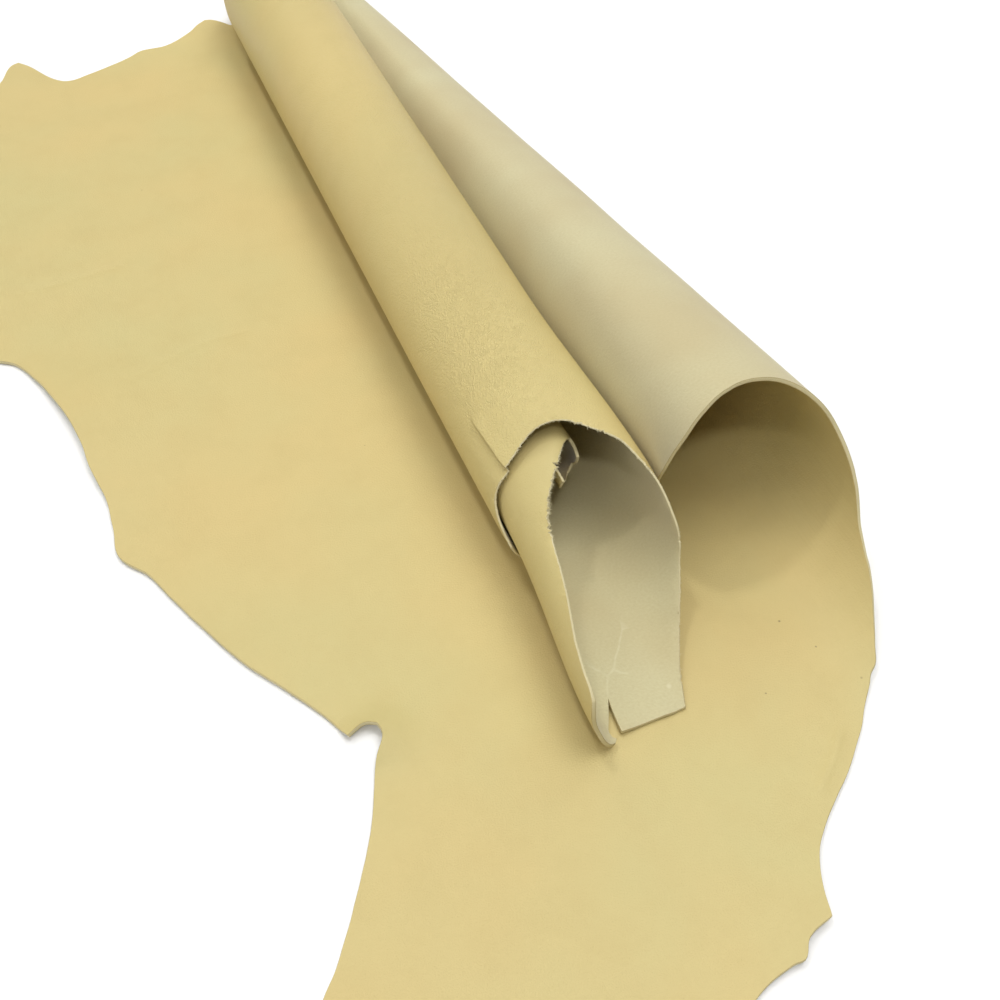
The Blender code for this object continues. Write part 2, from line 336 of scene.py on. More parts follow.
def normal_at(along, y):
    """The direction that the grain side faces."""
    across = fold(along + NORMAL_STEP, y) - fold(along - NORMAL_STEP, y)
    ahead = fold(along, y + NORMAL_STEP) - fold(along, y - NORMAL_STEP)
    return across.cross(ahead).normalized()


print("top of the roll at", [round(part, 3) for part in fold(at_turn(180), 0.5)])

# %% [markdown]
# A hide keeps the uneven outline of the animal. Most of it was trimmed with a knife, which leaves
# a clean line, and some of it was torn or roughly skived, which leaves fibres. The outline is a
# short list of places for each stretch, once round against the clock. It starts at the near end.

# %% The near end, the right edge and the loop's edge
# Columns: x, y, round the near end and up the right edge
FLAT_RIGHT_EDGE = (
    (-0.256, -0.091),
    (-0.275, -0.125),
    (-0.270, -0.165),
    (-0.235, -0.200),
    (-0.180, -0.222),
    (-0.110, -0.225),
    (-0.060, -0.205),
    (-0.035, -0.180),
    (-0.005, -0.171),
    (0.002, -0.171),
    (0.011, -0.161),
    (0.029, -0.155),
    (0.035, -0.135),
    (0.046, -0.115),
    (0.062, -0.099),
    (0.090, -0.077),
)
# Columns: along, y, over the loop and under the roll
LOOP_EDGE = (
    (-0.010, -0.059),
    (0.015, -0.034),
    (0.0240, -0.0260),
    (0.0296, -0.0205),
    (0.0367, -0.0165),
    (0.0478, -0.0032),
    (0.0629, 0.0148),
    (0.0755, 0.0288),
    (0.0868, 0.0428),
    (0.0918, 0.0502),
    (0.1085, 0.0688),
    (0.143, 0.090),
    (0.173, 0.110),
    (0.204, 0.121),
    (0.234, 0.130),
    (0.265, 0.133),
    (0.290, 0.130),
    (0.314, 0.126),
    (0.338, 0.124),
    (0.362, 0.127),
    (0.386, 0.132),
    (0.404, 0.137),
    (0.440, 0.148),
)
print("places on the near and right edges", len(FLAT_RIGHT_EDGE) + len(LOOP_EDGE))

# %% [markdown]
# From here on each place also has a roughness: nought is a clean knife cut and one is a full tear.
# The roll's mouth is a rough line, the tongue's right edge is cleaner, and its end is cut square,
# with a slit and a flap whose tip is hooked.

# %% The roll's mouth and the tongue
# Columns: turn in degrees, y, roughness, round the roll's mouth and down the right of the tongue
MOUTH_EDGE = (
    (0, 0.152, 0.3),
    (45, 0.145, 0.3),
    (72, 0.142, 0.3),
    (82, 0.155, 0.3),
    (98, 0.166, 0.4),
    (128, 0.171, 0.5),
    (148, 0.178, 0.5),
    (165, 0.183, 0.5),
    (182, 0.182, 0.5),
    (195, 0.176, 0.5),
    (205, 0.169, 0.5),
    (214, 0.1635, 0.4),
    (222, 0.158, 0.4),
    (230, 0.143, 0.3),
    (237, 0.131, 0.3),
    (247, 0.1145, 0.2),
    (258, 0.100, 0.2),
    (270, 0.093, 0.2),
    (284, 0.086, 0.2),
    (299, 0.072, 0.2),
    (316, 0.052, 0.2),
    (330, 0.031, 0.2),
    (337, 0.015, 0.1),
    (342, 0.002, 0.1),
)
# Columns: turn in degrees, y, roughness, over the tongue's cut end with its slit
TONGUE_END = (
    (391, 0.000, 0.0),
    (390.2, 0.016, 0.0),
    (389.4, 0.0255, 0.0),
    (393, 0.0162, 0.0),
    (396.2, 0.0078, 0.0),
    (399, 0.0010, 0.0),
    (398.2, -0.0024, 0.0),
    (396.2, -0.0040, 0.0),
    (398.1, -0.0066, 0.0),
    (402, -0.0080, 0.0),
    (409, -0.0080, 0.0),
    (425, -0.006, 0.0),
    (450, -0.002, 0.0),
)
print("places round the mouth and the tongue", len(MOUTH_EDGE) + len(TONGUE_END))

# %% [markdown]
# The tongue's left edge leads up into the roll. It is torn where the sheet begins to curl, and the
# curl's own edge is nearly clean.

# %% The torn edge and the curl
# Columns: turn in degrees, y, roughness, up the torn inner edge
TORN_EDGE = (
    (453, 0.002, 0.1),
    (458, 0.020, 0.15),
    (463, 0.036, 0.15),
    (469, 0.050, 0.15),
    (476, 0.067, 0.2),
    (485, 0.099, 0.3),
    (489, 0.113, 0.6),
    (492, 0.121, 1.0),
    (498, 0.130, 1.0),
    (503, 0.137, 0.8),
    (509, 0.143, 0.9),
    (516, 0.150, 0.7),
    (523, 0.156, 0.8),
    (536, 0.168, 0.4),
    (543, 0.174, 0.15),
)
# Columns: turn in degrees from the curl's start, y, roughness
CURL_EDGE = (
    (25, 0.179, 0.1),
    (45, 0.182, 0.1),
    (58, 0.178, 0.1),
    (68, 0.171, 0.1),
    (78, 0.168, 0.1),
    (105, 0.168, 0.1),
    (118, 0.171, 0.1),
    (150, 0.166, 0.1),
    (180, 0.159, 0.1),
    (210, 0.154, 0.1),
    (240, 0.149, 0.1),
    (285, 0.146, 0.1),
)
CURL_FAR_EDGE = (
    (285, 0.985),
    (60, 1.000),
)
print("places up the torn edge and the curl", len(TORN_EDGE) + len(CURL_EDGE))

# %% [markdown]
# The far ends of the roll and the loop are out of the picture, so they are plain. The flat part's
# far edge and left edge show in it again, with their bays and small hooks, up to the left end.

# %% The far ends and the left edge
# Columns: turn in degrees, y, along the roll's far end
FAR_MOUTH_EDGE = (
    (540, 1.005),
    (450, 1.020),
    (360, 1.035),
    (270, 1.050),
    (180, 1.030),
    (140, 1.000),
    (110, 0.965),
    (88, 0.938),
    (60, 0.932),
    (30, 0.975),
    (0, 1.010),
)
# Columns: along, y, back over the loop's far end
FAR_LOOP_EDGE = (
    (0.400, 1.040),
    (0.278, 1.060),
    (0.143, 1.050),
    (0.000, 1.030),
)
# Columns: x, y, along the far edge, round the left end and back down the left edge
FLAT_LEFT_EDGE = (
    (0.020, 1.018),
    (-0.040, 1.008),
    (-0.058, 1.029),
    (-0.065, 1.031),
    (-0.075, 1.023),
    (-0.088, 1.009),
    (-0.120, 0.988),
    (-0.147, 0.986),
    (-0.160, 0.977),
    (-0.186, 0.965),
    (-0.211, 0.956),
    (-0.226, 0.951),
    (-0.237, 0.953),
    (-0.269, 0.999),
    (-0.276, 1.007),
    (-0.283, 1.003),
    (-0.301, 0.967),
    (-0.340, 0.935),
    (-0.385, 0.870),
    (-0.412, 0.780),
    (-0.420, 0.680),
    (-0.410, 0.590),
    (-0.385, 0.535),
    (-0.356, 0.517),
    (-0.345, 0.509),
    (-0.331, 0.481),
    (-0.323, 0.457),
    (-0.313, 0.420),
    (-0.308, 0.388),
    (-0.306, 0.358),
    (-0.301, 0.329),
    (-0.301, 0.299),
    (-0.302, 0.268),
    (-0.286, 0.244),
    (-0.274, 0.215),
    (-0.254, 0.170),
    (-0.241, 0.144),
    (-0.221, 0.114),
    (-0.202, 0.083),
    (-0.193, 0.063),
    (-0.181, 0.066),
    (-0.174, 0.062),
    (-0.173, 0.054),
    (-0.182, 0.040),
    (-0.194, 0.010),
    (-0.201, -0.006),
    (-0.224, -0.046),
    (-0.245, -0.078),
)
print("places at the far ends and on the left edge", len(FAR_MOUTH_EDGE + FAR_LOOP_EDGE + FLAT_LEFT_EDGE))

# %% [markdown]
# Now the stretches are joined into one outline. The roughness says how ragged the line is, how
# thin the sheet gets towards it and how many fibres stand out of it.

# %% One outline with its roughness
CLEAN = 0.0


def edge_places():
    """The outline's corners as (along, y, roughness)."""
    places = []
    places += [(x - lift_x_at(y), y, CLEAN) for x, y in FLAT_RIGHT_EDGE]
    places += [(along, y, CLEAN) for along, y in LOOP_EDGE]
    for rows in (MOUTH_EDGE, TONGUE_END, TORN_EDGE):
        places += [(at_turn(turn), y, roughness) for turn, y, roughness in rows]
    places += [(at_curl(turn), y, roughness) for turn, y, roughness in CURL_EDGE]
    places += [(at_curl(turn), y, CLEAN) for turn, y in CURL_FAR_EDGE]
    places += [(at_turn(turn), y, CLEAN) for turn, y in FAR_MOUTH_EDGE]
    places += [(along, y, CLEAN) for along, y in FAR_LOOP_EDGE]
    places += [(x - lift_x_at(y), y, CLEAN) for x, y in FLAT_LEFT_EDGE]
    return places


corners = edge_places()
print("outline corners", len(corners))

# %% [markdown]
# A polygon would show its corners, so a smooth curve is run through the places, except where two
# sides meet sharply, such as the tongue's square end and its slit.

# %% A smooth curve through the places
CORNER_COS = math.cos(math.radians(52))


def edge_tangents(points):
    """The direction of the smooth curve at each place, or None at a sharp corner."""
    tangents = []
    count = len(points)
    for index in range(count):
        back = points[index] - points[index - 1]
        ahead = points[(index + 1) % count] - points[index]
        sharp = back.normalized().dot(ahead.normalized()) < CORNER_COS
        smooth = (back / back.length + ahead / ahead.length).normalized()
        tangents.append(None if sharp else smooth)
    return tangents


def edge_curve(start, end, leave, arrive, share):
    """A point between two places of the rim, on a curve that keeps their directions."""
    chord = end - start
    leave = chord if leave is None else leave * chord.length
    arrive = chord if arrive is None else arrive * chord.length
    rise = (3 * chord - 2 * leave - arrive) * share**2
    return start + leave * share + rise + (leave + arrive - 2 * chord) * share**3


corner_points = [Vector(place[:2]) for place in corners]
corner_tangents = edge_tangents(corner_points)
print("sharp corners", corner_tangents.count(None))

# %% [markdown]
# Then the line is shaken a little: slowly for the hand that held the knife, and quickly where the
# edge is torn. A tear comes in clumps, so a slower noise says how strong the quick one is.

# %% The slightly ragged rim
EDGE_STEP = 0.0024
ROUGH_EDGE_STEP = 0.0006
CURVE_STEP = 0.01
KNIFE_SHAKE = 0.00035
KNIFE_SCALE = 60
TEAR_SHAKE = 0.0050
TEAR_SCALE = 260
FINE_TEAR_SCALE = 700
FINE_TEAR_SHARE = 0.8
CLUMP_SCALE = 75
CLUMP_LEAST = 0.25
CLUMP_GAIN = 1.6
CLUMP_SEED = 3.0
EDGE_SEED = 40.0


def shaken(point, across, roughness, travelled):
    """A rim point moved to its side by the knife's shake and the tear's."""
    slow = noise.noise(Vector((travelled * KNIFE_SCALE, EDGE_SEED, 0)))
    quick = noise.noise(Vector((travelled * TEAR_SCALE, 0, EDGE_SEED)))
    fine = noise.noise(Vector((travelled * FINE_TEAR_SCALE, EDGE_SEED, EDGE_SEED)))
    quick += FINE_TEAR_SHARE * fine
    thick = noise.noise(Vector((travelled * CLUMP_SCALE, EDGE_SEED, CLUMP_SEED)))
    clump = CLUMP_LEAST + CLUMP_GAIN * max(0, thick)
    return point + across * (KNIFE_SHAKE * slow + TEAR_SHAKE * roughness * clump * quick)


def make_rim():
    """The rim as a list of (point, outward, roughness)."""
    points, tangents = corner_points, corner_tangents
    rim = []
    travelled = 0
    count = len(points)
    for index in range(count):
        after = (index + 1) % count
        length = (points[after] - points[index]).length
        rough = max(corners[index][2], corners[after][2]) > CLEAN
        pieces = max(1, round(length / (ROUGH_EDGE_STEP if rough else EDGE_STEP)))
        for piece in range(pieces):
            share = piece / pieces
            curve = (points[index], points[after], tangents[index], tangents[after])
            here = edge_curve(*curve, share)
            ahead = edge_curve(*curve, share + CURVE_STEP) - here
            across = Vector((ahead.y, -ahead.x)).normalized()
            roughness = corners[index][2] * (1 - share) + corners[after][2] * share
            if piece > 0 or tangents[index] is not None:
                here = shaken(here, across, roughness, travelled)
            rim.append((here, across, roughness))
            travelled += length / pieces
    return rim


rim = make_rim()
print("rim points", len(rim))

# %% [markdown]
# Now the marks that a hide carries. A crease is a narrow trough, or a ridge where its depth is
# negative, and beside it the sheet may stand a little higher on one side. A vein shows as a fine
# pale thread on the flesh side, and a spot is a pore, a scar or a scuff. Each has its places on
# the flat sheet, so it follows the fold wherever it goes.

# %% Creases, veins and spots
# Each crease: places (along, y), half width, depth, step up on its left, reach of the step
CREASES = (
    (
        ((at_turn(121.0), 0.232), (at_turn(123.6), 0.206), (at_turn(126.6), 0.171)),
        0.0015, 0.0024, 0.0040, 0.013,
    ),
    (
        ((-0.440, 0.601), (-0.390, 0.603), (-0.336, 0.609)),
        0.0060, 0.0009, 0.0, 0.0060,
    ),
    (
        ((-0.374, 0.439), (-0.358, 0.453), (-0.330, 0.467), (-0.298, 0.477), (-0.258, 0.479)),
        0.005, 0.0007, 0.0, 0.005,
    ),
    (
        ((-0.012, -0.044), (-0.031, -0.064), (-0.052, -0.081)),
        0.0050, -0.0014, 0.0, 0.0050,
    ),
)
# Each vein: places (turn in degrees, y), half width
VEINS = (
    (((355.2, 0.0716), (361.5, 0.0640), (364.2, 0.0599), (371, 0.0530), (376.8, 0.0447)), 0.0011),
    (
        (
            (391.9, 0.0518), (387.6, 0.0467), (383.0, 0.0416),
            (376.8, 0.0447), (372.4, 0.0409), (363.9, 0.0370),
        ),
        0.0013,
    ),
    (((383.0, 0.0416), (386.2, 0.0350), (389.0, 0.0270)), 0.0009),
)
# Columns: along, y, radius, how dark, where below nought is pale
SPOTS = (
    (-0.0057, 0.041, 0.0011, 0.9),
    (0.0063, 0.013, 0.0010, 0.8),
    (-0.0457, -0.007, 0.0009, 0.8),
    (0.0210, -0.0210, 0.0012, 0.5),
    (-0.2100, 0.3100, 0.0008, 0.5),
    (-0.2900, 0.7200, 0.0010, 0.5),
    (at_turn(344.9), 0.0201, 0.0024, -0.45),
    (at_turn(309.5), 0.0600, 0.0012, 0.9),
    (at_turn(311.5), 0.0520, 0.0016, 0.5),
    (at_turn(316.5), 0.0455, 0.0022, 0.35),
)
print("creases", len(CREASES), "veins", len(VEINS), "spots", len(SPOTS))

# %% [markdown]
# Three helpers read those tables: one measures how far a place is from a line, and the other two
# say how strong a vein or a spot is there. A fourth walks along a line in even steps.

# %% How strong a mark is at a place
def walk(places, step):
    """Points at even steps along a row of places."""
    walked = []
    for start, end in zip(places, places[1:]):
        start, end = Vector(start), Vector(end)
        pieces = max(1, math.ceil((end - start).length / step))
        walked += [start.lerp(end, piece / pieces) for piece in range(pieces)]
    walked.append(Vector(places[-1]))
    return walked


def nearest_on(places, point):
    """The distance from a row of places, which side the point is on, and the share passed."""
    best = None
    total = sum((Vector(b) - Vector(a)).length for a, b in zip(places, places[1:]))
    passed = 0
    for start, end in zip(places, places[1:]):
        start, side = Vector(start), Vector(end) - Vector(start)
        share = min(max((point - start).dot(side) / side.length_squared, 0), 1)
        offset = point - start - side * share
        if best is None or offset.length < best[0]:
            turned = side.x * offset.y - side.y * offset.x
            best = (offset.length, math.copysign(1, turned), (passed + share * side.length) / total)
        passed += side.length
    return best


def vein_at(along, y):
    """Nought off the veins and one on the middle of a vein."""
    strongest = 0
    for places, half_width in VEINS:
        row = [(at_turn(turn), place_y) for turn, place_y in places]
        distance = nearest_on(row, Vector((along, y)))[0]
        strongest = max(strongest, 1 - distance / half_width)
    return strongest


def spot_at(along, y):
    """How dark or, below nought, how pale a spot makes this place."""
    for spot_along, spot_y, radius, dark in SPOTS:
        distance = math.hypot(along - spot_along, y - spot_y) / radius
        if distance < 1:
            return dark * (1 - distance * distance)
    return 0


print("vein on a knot of the veins", round(vein_at(at_turn(376.8), 0.0447), 2))

# %% [markdown]
# The rest of the relief is soft. No hide lies quite flat, so the floor part has low, wide waves
# that only ever rise, and the loop and the roll have slight swellings. They fade out wherever
# two layers lie close together.

# %% Soft relief
WAVE_HEIGHT = 0.0016
WAVE_SCALE = 7.0
WAVE_SEED = 1.7
# The waves begin left of the roll and in front of its tongue: place and length of each fade
WAVE_EDGE_X = -0.080
WAVE_FADE_X = 0.100
WAVE_EDGE_Y = -0.020
WAVE_FADE_Y = 0.060
SWELL_HEIGHT = 0.0007
SWELL_SCALE = 9.0
SWELL_SEED = 8.3
LOOP_FADE = 0.060
OUTER_FIRST_TURN = 60
OUTER_LAST_TURN = 330
OUTER_FADE = 40
CREASE_FADE = 0.25
# Columns: along, y, half length along, half width in y, height
SWELLS = (
    (0.400, 0.760, 0.120, 0.050, 0.0022),
    (0.380, 0.560, 0.100, 0.060, -0.0015),
)


def soft_relief(along, y):
    """How far the sheet stands off its plain fold, towards its grain side."""
    if along < 0:
        x = lift_x_at(y) + along
        clear = smooth_share((WAVE_EDGE_X - x) / WAVE_FADE_X)
        clear += smooth_share((WAVE_EDGE_Y - y) / WAVE_FADE_Y)
        wave = 0.5 + 0.5 * noise.noise(Vector((x * WAVE_SCALE, y * WAVE_SCALE, WAVE_SEED)))
        return WAVE_HEIGHT * min(clear, 1) * smooth_share(wave)
    swell = noise.noise(Vector((along * SWELL_SCALE, y * SWELL_SCALE, SWELL_SEED)))
    if along < ROLL_START:
        touch = at_turn(-wrap_at(y))
        middle = smooth_share(along / LOOP_FADE) * smooth_share((touch - along) / LOOP_FADE)
        height = SWELL_HEIGHT * swell
        for at_along, at_y, half_length, half_width, rise in SWELLS:
            distance = math.hypot((along - at_along) / half_length, (y - at_y) / half_width)
            height -= rise * bump_share(distance)
        return middle * height
    turn = turn_at(along)
    outer = smooth_share((turn - OUTER_FIRST_TURN) / OUTER_FADE)
    outer *= smooth_share((OUTER_LAST_TURN - turn) / OUTER_FADE)
    return outer * SWELL_HEIGHT * (0.5 + 0.5 * swell)


def crease_relief(along, y):
    """The narrow marks: troughs and the small steps beside them."""
    height = 0
    for places, half_width, depth, step, reach in CREASES:
        distance, side, passed = nearest_on(places, Vector((along, y)))
        if distance >= reach:
            continue
        fade_in = smooth_share(passed / CREASE_FADE)
        beside = step * side * 0.5 * smooth_share(distance / half_width)
        height += fade_in * beside * (1 - smooth_share(distance / reach))
        height -= fade_in * depth * (1 - smooth_share(distance / half_width))
    return height


def relief(along, y):
    return soft_relief(along, y) + crease_relief(along, y)


print("wave at the left", round(relief(-0.3, 0.4) * 1000, 2), "mm")

# %% [markdown]
# The pattern is the flat sheet divided into triangles. Rows of points close together follow the
# tight curves of the roll, wider rows serve the flat part, and extra points lie beside each
# crease, vein and spot, so that the relief and the marks have something to hold on to.

# %% Stations, and points beside the marks
FLAT_STEP = 0.012
LOOP_STEP = 0.006
TURN_STEP = 4
FIRST_TURN = -108
CURL_STEP = 10
FEATURE_STEP = 0.002
FEATURE_SIDES = (-3.2, -1.8, -1.0, -0.5, 0.0, 0.5, 1.0, 1.8, 3.2)
SPOT_RINGS = (0.5, 1.0, 1.5)
SPOT_CORNERS = 8


def stations():
    """Places along the sheet where it has a row of points."""
    first = min(point.x for point, across, roughness in rim)
    flat_count = math.ceil(-first / FLAT_STEP)
    found = [-index * FLAT_STEP for index in range(flat_count, 0, -1)]
    touch = at_turn(FIRST_TURN)
    loop_count = round(touch / LOOP_STEP)
    found += [touch * index / loop_count for index in range(loop_count)]
    found += [at_turn(turn) for turn in range(FIRST_TURN, CURL_START, TURN_STEP)]
    found += [at_curl(turn) for turn in range(0, CURL_TURN, CURL_STEP)]
    return found


def feature_points():
    """Points beside each crease and vein and on each spot, and how wide each one is."""
    rows = [(places, half_width) for places, half_width, depth, step, reach in CREASES]
    for places, half_width in VEINS:
        rows.append(([(at_turn(turn), y) for turn, y in places], half_width))
    found = []
    for places, half_width in rows:
        walked = walk(places, max(FEATURE_STEP, half_width))
        for index, point in enumerate(walked):
            ahead = (walked[min(index + 1, len(walked) - 1)] - walked[max(index - 1, 0)]).normalized()
            across = Vector((-ahead.y, ahead.x))
            found += [(point + across * (half_width * side), half_width) for side in FEATURE_SIDES]
    for along, y, radius, dark in SPOTS:
        found.append((Vector((along, y)), radius))
        for ring in SPOT_RINGS:
            for corner in range(SPOT_CORNERS):
                angle = math.radians(360 / SPOT_CORNERS * corner)
                offset = Vector((math.cos(angle), math.sin(angle))) * (radius * ring)
                found.append((Vector((along, y)) + offset, radius))
    return found


print("stations", len(stations()), "points beside marks", len(feature_points()))

# %% [markdown]
# Only points inside the rim are kept, and none that would crowd the rim or a mark. Delaunay
# triangulation joins them all inside the rim, which a grid alone could not follow.

# %% The pattern
ROW_STEP = 0.012
RIM_CLEARANCE = 0.0022
CURL_CLEARANCE = 0.0008
# Points beside a mark are dropped where the rim is nearer than this share of the mark's width
MARK_CLEARANCE = 0.6
CURL_ROWS_FROM = -60
CURL_ROW_STEP = 0.0028
CURL_ROWS = 20
MERGE_DISTANCE = 1e-7


def inside_rim(points):
    """Which of many points lie inside the rim, by counting the rim's crossings."""
    inside = np.zeros(len(points), bool)
    line = np.array([point[:] for point, across, roughness in rim])
    for start, end in zip(line, np.roll(line, -1, axis=0)):
        if start[1] == end[1]:
            continue
        crosses = (start[1] > points[:, 1]) != (end[1] > points[:, 1])
        at = start[0] + (end[0] - start[0]) * (points[:, 1] - start[1]) / (end[1] - start[1])
        inside ^= crosses & (points[:, 0] < at)
    return inside


def distance_tree(points):
    tree = kdtree.KDTree(len(points))
    for index, point in enumerate(points):
        tree.insert((point[0], point[1], 0), index)
    tree.balance()
    return tree


def pattern_points():
    """The rim, the creases and a grid, with grid points dropped where they would crowd."""
    rim_points = [point for point, across, roughness in rim]
    rim_tree = distance_tree(rim_points)
    features = [
        point for point, width in feature_points()
        if rim_tree.find((point.x, point.y, 0))[2] > width * MARK_CLEARANCE
    ]
    inside = inside_rim(np.array([point[:] for point in features]))
    features = [point for point, keep in zip(features, inside) if keep]
    feature_tree = distance_tree(features)
    low_y = min(point.y for point in rim_points)
    high_y = max(point.y for point in rim_points)
    rows = math.ceil((high_y - low_y) / ROW_STEP)
    grid = [
        (station, low_y + (high_y - low_y) * row / rows)
        for station in stations()
        for row in range(1, rows)
    ]
    lowest_curl = min(y for turn, y, roughness in CURL_EDGE)
    grid += [
        (at_curl(turn), lowest_curl + row * CURL_ROW_STEP)
        for turn in range(CURL_ROWS_FROM, CURL_TURN, CURL_STEP)
        for row in range(CURL_ROWS)
    ]
    grid = np.array(grid)
    kept = []
    for along, y in grid[inside_rim(grid)]:
        clearance = RIM_CLEARANCE if along < CURL_ALONG else CURL_CLEARANCE
        if rim_tree.find((along, y, 0))[2] < clearance:
            continue
        if feature_tree.find((along, y, 0))[2] < RIM_CLEARANCE:
            continue
        kept.append(Vector((along, y)))
    return rim_points + features + kept


def make_pattern():
    points = pattern_points()
    loop = [list(range(len(rim)))]
    found, _, triangles, _, _, _ = delaunay_2d_cdt(points, [], loop, 1, MERGE_DISTANCE)
    return found, triangles


pattern, triangles = make_pattern()
print("pattern points", len(pattern), "triangles on one side", len(triangles))

# %% [markdown]
# The sheet is folded up from its pattern twice, once for the grain side and once for the flesh
# side, half a thickness either way. Solidify could add the second side, but the sheet gets
# thinner towards a torn edge, and the edge's rings are drawn between the points of both sides.

# %% Thickness and the two sides
# Columns: roughness, share of the thickness that is left at the rim
RIM_THICKNESS = (
    (0.0, 1.00),
    (0.2, 0.55),
    (0.5, 0.42),
    (1.0, 0.50),
)
THINNING_REACH = 0.007
TORN_GAIN = 2.2

rim_tree = distance_tree([point for point, across, roughness in rim])


def thickness_at(along, y):
    """The sheet's thickness, which falls off towards a torn edge."""
    _, index, distance = rim_tree.find((along, y, 0))
    roughness = rim[index][2]
    near = 1 - smooth_share(distance / THINNING_REACH)
    left = float(np.interp(roughness, *zip(*RIM_THICKNESS)))
    return THICKNESS * (1 - (1 - left) * near)


def torn_at(along, y):
    """How bare the fibres of the nearest edge lie, from nought to one."""
    _, index, _ = rim_tree.find((along, y, 0))
    return min(1, rim[index][2] * TORN_GAIN)


def sides_at(along, y):
    """The grain side's point, the flesh side's point and the direction between them."""
    normal = normal_at(along, y)
    middle = fold(along, y) + shift + normal * relief(along, y)
    half = thickness_at(along, y) / 2
    return middle + normal * half, middle - normal * half, normal


grain_points = []
flesh_points = []
for point in pattern:
    grain_point, flesh_point, _ = sides_at(point.x, point.y)
    grain_points.append(grain_point)
    flesh_points.append(flesh_point)
print("lowest flesh point", round(min(point.z for point in flesh_points) * 1000, 3), "mm")

# %% [markdown]
# A cut edge of leather isn't a flat band. The grain is a thin hard skin, the fibres below it are
# looser and bulge, and in a tear they stand out unevenly. So the edge has rings of points from
# the grain to the flesh, each moved out by its own amount.

# %% The edge's rings
# Columns: share of the way from grain to flesh, bulge of a cut, bulge of a tear
EDGE_RINGS = (
    (0.10, 0.00018, 0.0002),
    (0.35, 0.00030, 0.0009),
    (0.65, 0.00030, 0.0011),
    (0.90, 0.00018, 0.0006),
)
OUTWARD_STEP = 0.0004
BULGE_MEAN = 0.4
BULGE_SWING = 0.9
BULGE_SCALE = 700
BULGE_RING_STEP = 9


def outward_at(point, across):
    """The direction straight out of the edge, in the plane of the folded sheet."""
    inner = fold(point.x - across.x * OUTWARD_STEP, point.y - across.y * OUTWARD_STEP)
    return (fold(point.x, point.y) - inner).normalized()


def edge_ring(share, cut_bulge, tear_bulge):
    ring = []
    for index, (point, across, roughness) in enumerate(rim):
        grain_point, flesh_point = grain_points[index], flesh_points[index]
        place = Vector((point.x * BULGE_SCALE, point.y * BULGE_SCALE, share * BULGE_RING_STEP))
        uneven = BULGE_MEAN + BULGE_SWING * noise.noise(place)
        bulge = cut_bulge * (1 - roughness) + tear_bulge * roughness * uneven
        ring.append(grain_point.lerp(flesh_point, share) + outward_at(point, across) * bulge)
    return ring


rings = [edge_ring(*row) for row in EDGE_RINGS]
print("edge rings", len(rings), "of", len(rings[0]), "points")

# %% [markdown]
# The loop is drawn with the same number of millimetres of pattern all the way, but it really gets
# shorter towards its far end. So the real lengths are measured along the folded sections, and the
# texture map is laid out with them. Its area is then the area of leather that was cut.

# %% Real lengths on the flat sheet
LENGTH_STATIONS = np.linspace(0, ROLL_START, 126)
LENGTH_ROWS = np.linspace(-0.10, 1.10, 13)


def section_lengths(y):
    """Real lengths from the lift line to each station, along the section at y."""
    places = [fold(along, y) for along in LENGTH_STATIONS]
    lengths = [0]
    for start, end in zip(places, places[1:]):
        lengths.append(lengths[-1] + (end - start).length)
    return lengths


def real_places(places):
    """Pattern places as real places on the flat sheet, in metres."""
    table = np.array([section_lengths(y) for y in LENGTH_ROWS])
    found = []
    for along, y in places:
        row = np.clip((y - LENGTH_ROWS[0]) / (LENGTH_ROWS[1] - LENGTH_ROWS[0]), 0, len(LENGTH_ROWS) - 1.001)
        share = row - int(row)
        low, high = table[int(row)], table[int(row) + 1]
        looped = np.interp(along, LENGTH_STATIONS, low * (1 - share) + high * share)
        flat_or_rolled = min(along, 0) + max(along - ROLL_START, 0)
        found.append((lift_x_at(y) + flat_or_rolled + float(looped), y))
    return found


flat_places = real_places(pattern)

# %% [markdown]
# The finishes change over the hide. The grain is pebbled and paler where the roll was squeezed
# near its mouth and finely streaked where the loop strains it. Deep inside the roll and in its
# curl the colour is darkened where shade falls, which is painted shade, and the roll's top is a
# little darker. Each of these is a soft patch, given by its middle and its reach on the pattern.

# %% Where the finish changes
# Columns: along, y, reach along, reach in y, strength
PEBBLED = (
    (at_turn(150), 0.300, 0.120, 0.230, 1.0),
    (at_turn(200), 0.620, 0.110, 0.260, 0.45),
    (at_turn(420), 0.100, 0.090, 0.120, 0.6),
)
STREAKED = (
    (0.130, 0.120, 0.150, 0.220, 1.0),
)
# Painted shade in the curl and under the mouth's rim, then a faint darker patch on the roll's top
SHADE_AND_TONE_PATCHES = (
    (at_curl(170), 0.170, 0.034, 0.055, 1.3),
    (at_turn(512), 0.196, 0.050, 0.030, 0.55),
    (at_turn(180), 0.420, 0.070, 0.300, 0.10),
)


def patch_at(patches, along, y):
    strength = 0
    for patch_along, patch_y, reach_along, reach_y, full in patches:
        distance = math.hypot((along - patch_along) / reach_along, (y - patch_y) / reach_y)
        strength += full * (1 - smooth_share(distance))
    return min(strength, 1)


marks = {}
# The third kind of patch is the painted shade, with the faint darker patch on the roll's top
for name, patches in (("pebbled", PEBBLED), ("streaked", STREAKED), ("painted_shade_and_tone", SHADE_AND_TONE_PATCHES)):
    marks[name] = [patch_at(patches, along, y) for along, y in pattern]
for name, mark_at in (("vein", vein_at), ("spot", spot_at), ("torn", torn_at)):
    marks[name] = [mark_at(along, y) for along, y in pattern]
print("marks", {name: round(max(values), 2) for name, values in marks.items()})

# %% [markdown]
# All faces go into one closed mesh. It carries three finishes, for grain, flesh and cut edge, the
# texture map in metres, so that grain and nap follow the fold, and the marks as attributes that
# tell the materials where something changes.

# %% The sheet's mesh
GRAIN_FINISH, FLESH_FINISH, EDGE_FINISH = 0, 1, 2


